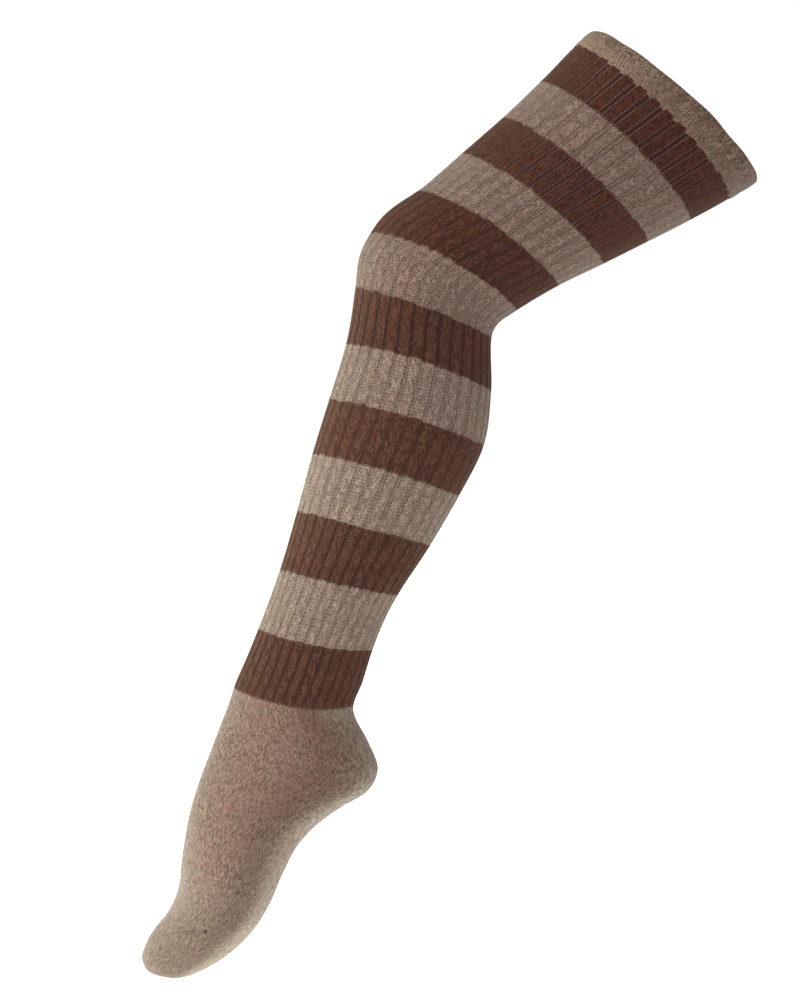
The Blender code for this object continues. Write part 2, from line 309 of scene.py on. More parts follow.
columns = knit["ribs"] * knit["walesPerRib"] * knit["columnsPerWale"]
halfRib = knit["walesPerRib"] / 2
wale = np.arange(columns) / knit["columnsPerWale"]          # whole numbers are between two wales
inRib = (wale + halfRib) % knit["walesPerRib"] - halfRib    # 0 in the middle of a furrow
fromFurrow = np.abs(inRib)
furrow = 0.5 + 0.5 * np.cos(np.pi * np.clip((fromFurrow - profile["flat"]) / profile["bank"], 0, 1))
ribTop = (1 - furrow) * (1 - ((halfRib - fromFurrow) / profile["crest"]) ** 2)
notch = np.clip((profile["railsEnd"] - fromFurrow) / profile["railsFade"], 0, 1)    # 1 across the rails
waleTop = np.where(wale % 1 > 0.25, 1.0, -1.0)    # the middle of a wale stands, its sides sink
dice = np.random.default_rng(34)
perRib, perWale = columns // knit["ribs"], knit["columnsPerWale"]
wander = {name: np.repeat(dice.normal(0, 1, knit["ribs"]), perRib) * (1 - furrow) * knit["uneven"]
          + np.repeat(dice.normal(0, 1, columns // perWale), perWale) * knit["ragged"] for name in names}
deeper = np.repeat(dice.uniform(*knit["scallops"], knit["ribs"]), perRib)


def waleTable(step):
    # where each column lies round the leg, at stations a step apart: its place in ribs is looked up on the
    # arc, turned a little, and within each rib the two wales of the furrow are narrower than the other four
    station = np.arange(0, tipStation + step, step)
    share = np.interp(station, pinch["station"], pinch["share"])[:, None]
    raised = halfRib - 1
    past = np.clip(fromFurrow - 1, 0, raised) / raised
    onRib = np.sign(inRib) * (share / 2 + past * (0.5 - share / 2))
    place = (wale - inRib) / knit["walesPerRib"] + np.where(fromFurrow <= 1, inRib * share / 2, onRib)
    turned = np.interp(station, spin["station"], spin["ribs"])[:, None]
    angle = np.linspace(0, 2 * np.pi, knit["ringPoints"])
    ringStation = np.repeat(np.minimum(station, tipStation)[:, None], len(angle), 1)
    ring = legPoint(ringStation, np.tile(angle, (len(station), 1)))
    arc = np.cumsum(np.linalg.norm(np.diff(ring, axis=1, prepend=ring[:, :1]), axis=-1), axis=1)
    ribsHere = knit["ribs"] * arc / arc[:, -1:] + (turned + 1) / 2 + (turned - 1) / 2 * np.cos(angle)
    wanted = place + knit["ribs"] * (place < turned)
    table = np.array([np.interp(want, have, angle) for want, have in zip(wanted, ribsHere)])
    return np.unwrap(table, axis=0)


waleAngles = waleTable(knit["tableStep"])


def angleOf(station):
    # the angle of every column at each of some stations, straight between the table's rows
    row = station / knit["tableStep"]
    low = np.clip(row.astype(int), 0, len(waleAngles) - 2)
    t = (row - low)[:, None]
    return waleAngles[low] * (1 - t) + waleAngles[low + 1] * t


def edgeSlide(angle, name):
    # how far a band's first course hangs, by a power of the cosine to the front and to the back, and how
    # far its scallops and its wander add to that
    front, side, back, scallop = bandRows[name][:4]
    cosine, power = np.cos(angle), knit["hangPower"]
    hang = front * np.clip(cosine, 0, 1) ** power + back * np.clip(-cosine, 0, 1) ** power
    ragged = scallop * deeper * (notch - knit["scallopLevel"]) + wander[name] * (scallop != 0)
    return hang + side * (1 - np.abs(cosine)), ragged


def slideOf(station, angle, first, last, name, following):
    # courses slide along the leg from one edge of a band to the other, its scallops fade by the square, and
    # each stitch is a roof
    t = np.clip((station - first) / (last - first), 0, 1)
    upper, upperScallop = edgeSlide(angle, name)
    lower, lowerScallop = edgeSlide(angle, following)
    near = np.clip(1 - (station - first) / knit["edgeReach"], 0, 1) ** 2
    far = np.clip(1 - (last - station) / knit["edgeReach"], 0, 1) ** 2
    roof = -waleTop * knit["tooth"] * (1 - furrow * ribbed(station))
    roof = roof * (1 - knit["toothFoot"] * onFoot(station))
    return upper * (1 - t) + lower * t + upperScallop * near + lowerScallop * far + roof * atTip(station)


def onFoot(station):
    # 0 on the ribbed leg and 1 on the plain foot, rising evenly where the ribs end
    return np.clip((station - heelStart + knit["ribEnd"]) / knit["ribEnd"], 0, 1)


def ribbed(station):
    # 1 on the ribbed leg and 0 on the plain foot
    return 1 - onFoot(station)


def atTip(station):
    # 1 on the leg, falling evenly to 0 just before the toe's tip
    return np.clip((tipStation - station - knit["tipFlat"]) / knit["tipFade"], 0, 1)


def stitchLift(station, course):
    # ribs as a rounded furrow and crest, wales as cords, and a swell over the middle of each course
    foot = onFoot(station)
    depth = np.interp(station, bandMiddles, [row[4] for row in bandRows.values()][:-1])
    ribs = knit["crown"] * depth * ribTop - depth * furrow
    cord = knit["cord"] * (1 - foot) + knit["footCord"] * foot
    cords = waleTop * cord * (1 - knit["furrowCord"] * furrow * (1 - foot))
    fromJoins = np.abs(station - toeStart) * np.abs(station - footStart)
    pebble = knit["pebble"] * (1 - foot) + knit["footPebble"] * foot
    swell = -np.cos(2 * np.pi * course) * pebble * np.clip(fromJoins / knit["joinCalm"], 0, 1)
    return ribs + (cords + swell) * atTip(station)


def closedSurface(name, rings, across, uv, paint, sharp, poles):
    # rings of points, each joined to the next and the last one to the first, or with poles each end ring
    # drawn to its middle
    count, columns = rings.shape[:2]
    points = rings.reshape(-1, 3)
    joined = count - 1 if poles else count
    ring, column = np.meshgrid(np.arange(joined), np.arange(columns), indexing="ij")
    ring, column = ring.ravel(), column.ravel()
    after, below = (column + 1) % columns, (ring + 1) % count
    quads = np.stack([ring * columns + column, ring * columns + after,
                      below * columns + after, below * columns + column], 1)
    quadU = across[column][:, None] + (across[1] - across[0]) * np.array([0, 1, 1, 0])
    quadV = np.stack([uv[ring], uv[ring], uv[below], uv[below]], 1)
    loops, sizes, loopU, loopV = quads.ravel(), np.full(len(quads), 4), quadU.ravel(), quadV.ravel()
    if poles:
        every = np.arange(columns)
        following = (every + 1) % columns
        last = (count - 1) * columns
        top, bottom = len(points), len(points) + 1
        points = np.vstack([points, rings[0].mean(0), rings[-1].mean(0)])
        paint = {layer: np.concatenate([part, part[:1], part[-1:]]) for layer, part in paint.items()}
        caps = np.concatenate([np.stack([np.full(columns, top), following, every], 1),
                               np.stack([np.full(columns, bottom), last + every, last + following], 1)])
        loops = np.concatenate([loops, caps.ravel()])
        sizes = np.concatenate([sizes, np.full(len(caps), 3)])
        capU = np.stack([across, across, across], 1)
        loopU = np.concatenate([loopU, capU.ravel(), capU.ravel()])
        loopV = np.concatenate([loopV, np.full(3 * columns, uv[0]), np.full(3 * columns, uv[-1])])
    mesh = bpy.data.meshes.new(name)
    mesh.vertices.add(len(points))
    mesh.vertices.foreach_set("co", (points * mm).astype(np.float32).ravel())
    mesh.loops.add(len(loops))
    mesh.loops.foreach_set("vertex_index", loops.astype(np.int32))
    mesh.polygons.add(len(sizes))
    mesh.polygons.foreach_set("loop_start", np.concatenate([[0], np.cumsum(sizes)[:-1]]).astype(np.int32))
    mesh.polygons.foreach_set("loop_total", sizes.astype(np.int32))
    mesh.update(calc_edges=True)
    unwrapped = mesh.uv_layers.new(name="knit")
    unwrapped.uv.foreach_set("vector", np.stack([loopU, loopV], 1).astype(np.float32).ravel())
    for layer, values in paint.items():
        colours = mesh.attributes.new(layer, "FLOAT_COLOR", "POINT")
        colours.data.foreach_set("color", values.astype(np.float32).ravel())
    ends = np.zeros(len(mesh.edges) * 2, np.int32)
    mesh.edges.foreach_get("vertices", ends)
    ends = ends.reshape(-1, 2) // columns
    hard = (ends[:, 0] == ends[:, 1]) & np.isin(ends[:, 0], sharp)
    mesh.attributes.new("sharp_edge", "BOOLEAN", "EDGE").data.foreach_set("value", hard)
    mesh.shade_smooth()
    mesh.validate()
    piece = bpy.data.objects.new(name, mesh)
    bpy.context.scene.collection.objects.link(piece)
    return piece


def ramp(value, low, high):
    # from 0 at low to 1 at high, level at both: three times the square less twice the cube
    t = np.clip((value - low) / (high - low), 0, 1)
    return t * t * (3 - 2 * t)


def hill(value, middle, half):
    # a bell curve, 1 in its middle
    return np.exp(-((value - middle) / half) ** 2)


# angles are in degrees from the front of the leg
# painted shade on the foot's lower side, more at the heel, painted light on its front, and a paler sole,
# partly painted light from below and partly paler yarn; the rosy instep is the yarn's tint
plainShade = {
    "side": 0.20, "sideAt": 110, "sideWide": 22,    # the darker lower side, more at the heel
    "heelSide": 0.16, "heelEnds": (50, 110), "toeSide": 0.5, "toesFrom": (-20, 30),
    "soleFrom": (120, 148), "soleSpread": 8, "soleRed": 0.08, "soleBlue": 0.05,    # the creamier sole
    "tipSole": 0.18, "tipFrom": (50, 8), "tipRound": (50, 110), "toeBlue": 0.03,
    "front": 0.22, "frontTo": (25, 75), "toeFront": 0.6,    # the paler front
    "pink": 0.14, "pinkAt": 68, "pinkWide": 30, "pinkEnds": 80, "toePink": 0.8,    # the rosy instep
    "strip": 0.30, "stripAt": 5, "stripWide": 7.0, "stripRound": (105, 125),    # under the last stripe
}
# down the leg, how much paler the sole is, partly painted light from below and partly paler yarn: most
# under the heel and under the ball of the foot
soleLightAndYarn = {
    "station": (598, 633, 650, 690, 710, 750, 790, 866),
    "share": (0, 0.45, 1.05, 0.95, 0.65, 0.68, 0.88, 0.60),
}


def plainShadeAndTint(station, fromFront, look):
    # painted light and shade round the plain foot, with its rosy instep and creamier sole, as factors of
    # its brightness, its red and its blue, each 1 and the sum of hills and ramps round the foot and along
    # it
    heel = 1 - ramp(station, *(heelStart + reach for reach in look["heelEnds"]))
    toes = ramp(station, *(toeStart + reach for reach in look["toesFrom"]))
    side = (look["side"] * (1 - look["toeSide"] * toes) + look["heelSide"] * heel) \
        * hill(fromFront, look["sideAt"], look["sideWide"])
    below = ramp(fromFront + look["soleSpread"] * (toes - heel), *look["soleFrom"])
    tip = look["tipSole"] * ramp(station, *(tipStation - reach for reach in look["tipFrom"])) \
        * ramp(fromFront, *look["tipRound"])
    sole = np.interp(station, soleLightAndYarn["station"], soleLightAndYarn["share"]) * below + tip
    strip = look["strip"] * hill(station, heelStart + look["stripAt"], look["stripWide"]) \
        * ramp(fromFront, *look["stripRound"])
    front = look["front"] * (1 - ramp(fromFront, *look["frontTo"])) * (1 - look["toeFront"] * toes)
    instep = look["pink"] * (1 - look["toePink"] * ramp(station, toeStart - look["pinkEnds"], toeStart)) \
        * hill(fromFront, look["pinkAt"], look["pinkWide"])
    pink = instep + look["soleRed"] * below * (1 - heel)
    lost = (look["soleBlue"] * below + look["toeBlue"]) * toes
    return 1 - side + sole + strip + front, 1 + pink, 1 - lost


# painted rim light: the ribs are paler at the front and behind, with their yarn more sallow there, and a
# little bluer between
ribRound = {"front": (20, 75), "back": (140, 170), "between": (105, 25)}
ribShade = {
    "brown": {
        "frontBlue": 0.17, "frontRed": 0.06, "frontRimLight": 0.18, "backBlue": 0.10, "backRimLight": 0.08,
        "middleBlue": 0.05, "middleRed": 0.07,
    },
    "beige": {
        "frontBlue": 0.06, "frontRed": 0.04, "frontRimLight": 0.06, "backBlue": 0.04, "backRimLight": 0.12,
        "middleBlue": 0.05, "middleRed": 0.0,
    },
}


def ribLightAndHue(fromFront, look):
    # the same round the leg: a ramp from the front, a ramp to the back and a hill between
    front, back = 1 - ramp(fromFront, *ribRound["front"]), ramp(fromFront, *ribRound["back"])
    between = hill(fromFront, *ribRound["between"])
    blue = 1 - look["frontBlue"] * front - look["backBlue"] * back + look["middleBlue"] * between
    red = 1 - look["frontRed"] * front - look["middleRed"] * between
    return 1 + look["frontRimLight"] * front + look["backRimLight"] * back, red, blue


yarnTone = {
    "brownRed": 0.6, "beigeRed": 0.72, "blue": 1.04,    # powers of the brightness
    "stray": 0.35, "strayWide": 0.8,                    # the next stripe's yarn that strays in
}
ladders = {"brown": (32, 58), "brownEnds": (128, 150), "brownLost": 0.85, "beige": (25, 50), "least": 0.45}


def paintOf(station, angle, name, brown):
    # "tone" tints the yarn by its brightness, partly painted light and shade, and powers of it, and holds
    # how much of the next stripe's yarn strays in, by hills. "marks" holds the strength of ladders, painted
    # shade in the furrows, pricks and combing.
    ladder, shade, prick, bright = bandRows[name][5:]
    station = station + np.zeros(angle.shape)
    fromFront = np.degrees(np.arccos(np.cos(angle)))
    number = names.index(name)
    red = blue = np.ones(angle.shape)
    if name in plainNames:
        factor, red, blue = plainShadeAndTint(station, fromFront, plainShade)
        before = bandRows[names[number - 1]][8] if name != "heel" else bright
        bright = factor * (before + (bright - before) * ramp(station, *firstStations[number:number + 2]))
    elif name != "welt":
        factor, red, blue = ribLightAndHue(fromFront, ribShade["brown" if brown else "beige"])
        bright = bright * factor
    bright = bright * np.ones(angle.shape)
    redPower = yarnTone["brownRed" if brown else "beigeRed"]
    tone = np.stack([bright ** redPower * red, bright, bright ** yarnTone["blue"] * blue,
                     np.zeros(angle.shape)], -1)
    edges = ([number] if number > 1 else []) + ([number + 1] if number < names.index("heel") else [])
    for edge in edges:
        tone[..., 3] += yarnTone["stray"] * hill(station, firstStations[edge], yarnTone["strayWide"])
    marks = np.zeros(angle.shape + (4,))
    if brown:
        marks[..., 0] = ladder * ramp(fromFront, *ladders["brown"]) \
            * (1 - ladders["brownLost"] * ramp(fromFront, *ladders["brownEnds"]))
    else:
        least = ladders["least"]
        marks[..., 0] = ladder * (least + (1 - least) * ramp(fromFront, *ladders["beige"]))
    marks[..., 1] = shade * ribbed(station)
    marks[..., 2] = prick * (knit["tipPrick"] + (1 - knit["tipPrick"]) * atTip(station))
    return {"tone": tone.reshape(-1, 4), "marks": marks.reshape(-1, 4)}


def bandCourses(first, last, count):
    # the stations of a band's rings, two to a course, and their course numbers
    return np.linspace(first, last, 2 * count + 1), np.arange(2 * count + 1) / 2


def insideRows(first, last):
    # stations back up the plain inside, evenly spaced
    return np.linspace(last, first, max(2, round((last - first) / knit["insideStep"])) + 1)


def addBand(name, following, courseNow, plain):
    # a tube of knitting: the outside down the leg and the plain inside back up
    first, last = stations[starts[name]], stations[starts[following]]
    courses = round((last - first) / knit["footCourse"]) if plain else knit["stripeCourses"]
    station, number = bandCourses(first, last, courses)
    poles = following == "tip"
    if poles:
        keep = station < tipStation - 1.0
        station, number = station[keep], number[keep]
    inside = insideRows(first, min(last, station[-1]))
    angle, innerAngle = angleOf(station), angleOf(inside)
    slide = slideOf(station[:, None], angle, first, last, name, following)
    innerSlide = slideOf(inside[:, None], innerAngle, first, last, name, following)
    outer = cloth(station[:, None] + slide, angle, stitchLift(station[:, None], number[:, None]))
    inner = cloth(inside[:, None] + innerSlide, innerAngle, np.full(innerSlide.shape, -knit["wall"]))
    outerCount, innerCount = len(station), len(inside)
    order = np.arange(outerCount + innerCount)
    sharp = [0, outerCount - 1, outerCount, outerCount + innerCount - 1]
    if poles:
        # from the tip's inside up and back down the outside
        order = np.concatenate([outerCount + np.arange(innerCount), np.arange(outerCount)])
        sharp = [innerCount - 1, innerCount]
    rings = np.concatenate([outer, inner])[order]
    uv = (courseNow + np.concatenate([number, np.interp(inside, station, number)]))[order]
    allStations = np.concatenate([station, inside])[order]
    allAngles = np.concatenate([angle, innerAngle])[order]
    paint = paintOf(allStations[:, None], allAngles, name, "brown" in name)
    piece = closedSurface(name + "_knit", rings, wale, uv, paint, sharp, poles)
    return piece, courseNow + number[-1]


hem = {
    "stands": 0.9, "undercut": 2.4,    # how proud of the leg it is, and over what height
    "groove": 0.3, "grooveAt": 7.6, "grooveWide": 1.3, "puff": 0.25,
    "rollSteps": 12, "slideOver": 4, "calmOver": 6, "calmLeast": 0.35,
    "combFrom": 1.0, "combTo": 10.5, "combBehind": 85.0,    # light strokes by height and angle
    "combRise": 2, "combFall": 3, "combFade": 35, "combLeast": 0.25,
    "waver": 0.35,                                 # how much the opening's edge rises and falls
    "sallow": 0.13, "sallowTo": (40, 75),          # less blue in front
    "backFurrows": 0.4, "backFrom": (115, 145),    # darker furrows behind
}


def waver(angle):
    # the sum of three waves round the leg
    return hem["waver"] * (np.sin(5 * angle + 1) + 0.7 * np.sin(9 * angle + 2.3) + 0.5 * np.sin(14 * angle))


def addHem(name, following):
    # the leg's cloth turned over half a circle and linked down inside, proud by a quarter of a sine wave
    # less a hill for the groove, and puffed by half a sine wave
    foot = stations[1]
    radius = (knit["wall"] + hem["stands"]) / 2
    up, number = bandCourses(radius, foot, knit["hemCourses"])
    course = (foot - radius) / knit["hemCourses"]
    rise = foot - up
    puffed = np.clip((rise - hem["grooveAt"]) / (foot - radius - hem["grooveAt"]), 0, 1)
    stands = hem["stands"] * np.sin(np.pi / 2 * np.clip(rise / hem["undercut"], 0, 1)) \
        - hem["groove"] * hill(rise, hem["grooveAt"], hem["grooveWide"]) \
        + hem["puff"] * np.sin(np.pi * puffed)
    arc = np.linspace(0, np.pi, hem["rollSteps"])[1:-1]
    rollStation = radius - radius * np.sin(arc)
    rollLift = hem["stands"] - radius + radius * np.cos(arc)
    inside = insideRows(radius, foot)[::-1]
    angle, rollAngle, innerAngle = angleOf(up), angleOf(rollStation), angleOf(inside)
    slide = slideOf(up[:, None], angle, radius, foot, name, following) \
        * ramp(up[:, None], radius, radius + hem["slideOver"]) \
        + waver(angle) * (1 - ramp(up[:, None], 0, foot))
    innerSlide = slideOf(inside[:, None], innerAngle, radius, foot, name, following) \
        + waver(innerAngle) * (1 - ramp(inside[:, None], 0, foot))
    share = np.clip(1 - rise / hem["calmOver"], hem["calmLeast"], 1)[:, None]
    outer = cloth(up[:, None] + slide, angle,
                  stitchLift(up[:, None], number[:, None]) * share + stands[:, None])
    rollLift = np.repeat(rollLift[:, None], columns, 1)
    roll = cloth(rollStation[:, None] + waver(rollAngle), rollAngle, rollLift)
    inner = cloth(inside[:, None] + innerSlide, innerAngle, np.full(innerSlide.shape, -knit["wall"]))
    # from the outside's foot up, over the roll and down the inside
    rings = np.concatenate([roll[::-1], outer, inner[::-1]])
    rollCourse = -np.linspace(0, 1, len(arc) + 2)[1:-1] * np.pi * radius / course
    insideCourse = -np.pi * radius / course - (inside - radius) / course
    uv = np.concatenate([rollCourse[::-1], number, insideCourse[::-1]])
    station = np.concatenate([rollStation[::-1], up, inside[::-1]])[:, None]
    angles = np.concatenate([rollAngle[::-1], angle, innerAngle[::-1]])
    paint = paintOf(station, angles, name, False)
    fromFront = np.degrees(np.arccos(np.cos(angles)))
    ahead = 1 - ramp(fromFront, hem["combBehind"] - hem["combFade"], hem["combBehind"])
    comb = ramp(foot - station, hem["combFrom"] - hem["combRise"], hem["combFrom"]) \
        * (1 - ramp(foot - station, hem["combTo"] - hem["combFall"], hem["combTo"])) \
        * (hem["combLeast"] + (1 - hem["combLeast"]) * ahead)
    paint["marks"][:, 3] = comb.ravel()
    # more painted shade in the furrows behind
    paint["marks"][:, 1] += hem["backFurrows"] * ramp(fromFront, *hem["backFrom"]).ravel()
    paint["tone"][:, 2] *= 1 - hem["sallow"] * (1 - ramp(fromFront, *hem["sallowTo"])).ravel()
    last = len(arc) + len(up) - 1
    return closedSurface(name + "_knit", rings, wale, uv, paint, [last, last + 1], False), number[-1]


toeSeam = {
    "rows": (26.6, 25.36), "ends": 93.0,    # the rows it crosses at the toe's top and sides, its ends
    "steps": 301, "sides": 8,
    "radius": 0.50, "bead": 0.12, "pitch": 1.6, "sunk": 0.20, "taper": 0.8, "thinnest": 0.02,
    "knot": 1.2, "knotLong": 1.4, "knotSoft": 0.8, "tone": 0.62, "knotTone": 0.30, "knotShare": 1.5,
}


def addToeSeam(look):
    # a thin cord over the top of the toe, beaded by a cosine, with a hill for the knot at each end and its
    # rings square to the path
    angle = np.radians(np.linspace(-look["ends"], look["ends"], look["steps"]))
    sideShare = np.sin(angle) ** 2
    row = look["rows"][0] * (1 - sideShare) + look["rows"][1] * sideShare
    station = np.interp(row, np.arange(len(stations)), stations)
    path = cloth(station, angle, np.zeros(angle.shape))
    outward = cloth(station, angle, np.ones(angle.shape)) - path
    along = np.gradient(path, axis=0)
    along /= np.linalg.norm(along, axis=1, keepdims=True)
    length = np.concatenate([[0], np.cumsum(np.linalg.norm(np.diff(path, axis=0), axis=1))])
    fromEnd = np.minimum(length, length[-1] - length)
    knot = hill(fromEnd, look["knotLong"], look["knotLong"] * look["knotSoft"])
    beaded = look["radius"] * (1 + look["bead"] * np.cos(2 * np.pi * length / look["pitch"]))
    radius = (beaded + look["knot"] * knot) * np.sqrt(np.clip(fromEnd / look["taper"], look["thinnest"], 1))
    turn = np.linspace(0, 2 * np.pi, look["sides"], endpoint=False)
    beside = np.cross(along, outward)
    rings = path[:, None] - look["sunk"] * outward[:, None] + radius[:, None, None] * (
        np.cos(turn)[None, :, None] * outward[:, None] + np.sin(turn)[None, :, None] * beside[:, None])
    fromFront = np.degrees(np.abs(angle))
    factor, red, blue = plainShadeAndTint(station, fromFront, plainShade)
    knotted = np.clip(knot * look["knotShare"], 0, 1)
    factor = factor * bandRows["toe"][8] * (look["tone"] + (look["knotTone"] - look["tone"]) * knotted)
    tone = np.repeat(np.stack([factor * red, factor, factor * blue, 0 * factor], -1), len(turn), 0)
    paint = {"tone": tone, "marks": np.zeros(tone.shape)}
    return closedSurface("toe_seam", rings, turn / 2 / np.pi, length / knit["footCourse"], paint, [], True)


# the yarns

def tool(tree, kind, **settings):
    # one shader node of a kind, with its settings
    made = tree.nodes.new("ShaderNode" + kind)
    for name, value in settings.items():
        setattr(made, name, value)
    return made


def feed(tree, value, socket):
    # a socket's number or colour, or a link to it
    if isinstance(value, tuple):
        socket.default_value = (*value, 1)
    elif isinstance(value, (int, float)):
        socket.default_value = value
    else:
        tree.links.new(value, socket)


def calc(tree, operation, *values):
    # one Math node, its inputs from sockets or numbers
    made = tool(tree, "Math", operation=operation)
    for place, value in enumerate(values):
        feed(tree, value, made.inputs[place])
    return made.outputs[0]


def blendColour(tree, share, low, high, how="MIX"):
    # low and high by their shares, or low and its product with high
    made = tool(tree, "Mix", data_type="RGBA", blend_type=how)
    made.clamp_factor = True
    for place, value in ((0, share), (6, low), (7, high)):
        feed(tree, value, made.inputs[place])
    return made.outputs[2]


def smooth(tree, value, low, high, toLow=0.0, toHigh=1.0):
    # the same curve as ramp, from toLow to toHigh
    made = tool(tree, "MapRange", interpolation_type="SMOOTHSTEP")
    tree.links.new(value, made.inputs["Value"])
    for name, number in (("From Min", low), ("From Max", high), ("To Min", toLow), ("To Max", toHigh)):
        made.inputs[name].default_value = number
    return made.outputs[0]


def noise(tree, vector, scale, detail, roughness):
    # clouds that many to the vector's unit, with finer ones over them
    made = tool(tree, "TexNoise")
    tree.links.new(vector, made.inputs["Vector"])
    for name, number in (("Scale", scale), ("Detail", detail), ("Roughness", roughness)):
        made.inputs[name].default_value = number
    return made.outputs["Fac"]


def fromMiddle(tree, value):
    # 0 in the middle of each whole step and 1 at its ends: twice the fraction's distance from a half
    distance = calc(tree, "ABSOLUTE", calc(tree, "SUBTRACT", calc(tree, "FRACT", value), 0.5))
    return calc(tree, "MULTIPLY", distance, 2.0)


def dice2(tree, x, y):
    # a random number for each pair of whole steps
    pair = tool(tree, "CombineXYZ")
    tree.links.new(calc(tree, "FLOOR", x), pair.inputs[0])
    tree.links.new(calc(tree, "FLOOR", y), pair.inputs[1])
    made = tool(tree, "TexWhiteNoise", noise_dimensions="2D")
    tree.links.new(pair.outputs[0], made.inputs["Vector"])
    return made.outputs["Value"]


# the same for every yarn
grain = {
    "speck": (1400, 2.0, 0.6), "cloud": (42, 2.0, 0.55), "stroke": (1.25, 1.5, 0.55),
    "mottle": (2.0, 0.6), "hue": (1.0, 0.5),    # at the yarn's own scale
    "legStart": 50.0, "dotsApart": 0.6,         # where the legs' dice begin, and how the dots' rows differ
    "dotWide": 0.5, "combWander": 3.0, "combMost": 0.75,
    "legRound": 0.7,                            # how much of a stitch's height is the round of its leg
    "specular": 0.15, "sheenRoughness": 0.45,
}
# where each fade begins and ends, and its values there if they aren't 0 and 1
fades = {
    "gap": (0.35, 0.85), "between": (0.30, 0.85), "hue": (0.3, 0.7), "cloud": (0.35, 0.65, 0.0),
    "groove": (0.6, 1.9, 1.0, 0.0), "rail": (0.16, 0.46, 1.0, 0.0), "seam": (0.1, 0.6, 1.0, 0.0),
    "glint": (0.84, 0.92), "prick": (0.15, 0.7, 0.1, 1.0), "held": (0.0, 1.0), "dot": (0.0, 0.6),
    "comb": (0.25, 0.75, 1.0, 0.0), "combMottle": (0.3, 0.6, 0.5, 1.0), "stray": (0.1, 0.9, 0.25, 1.0),
    "yarn": (0.0, 1.0, 0.55, 1.0), "roughness": (0.3, 0.7, 0.82, 0.98),
}


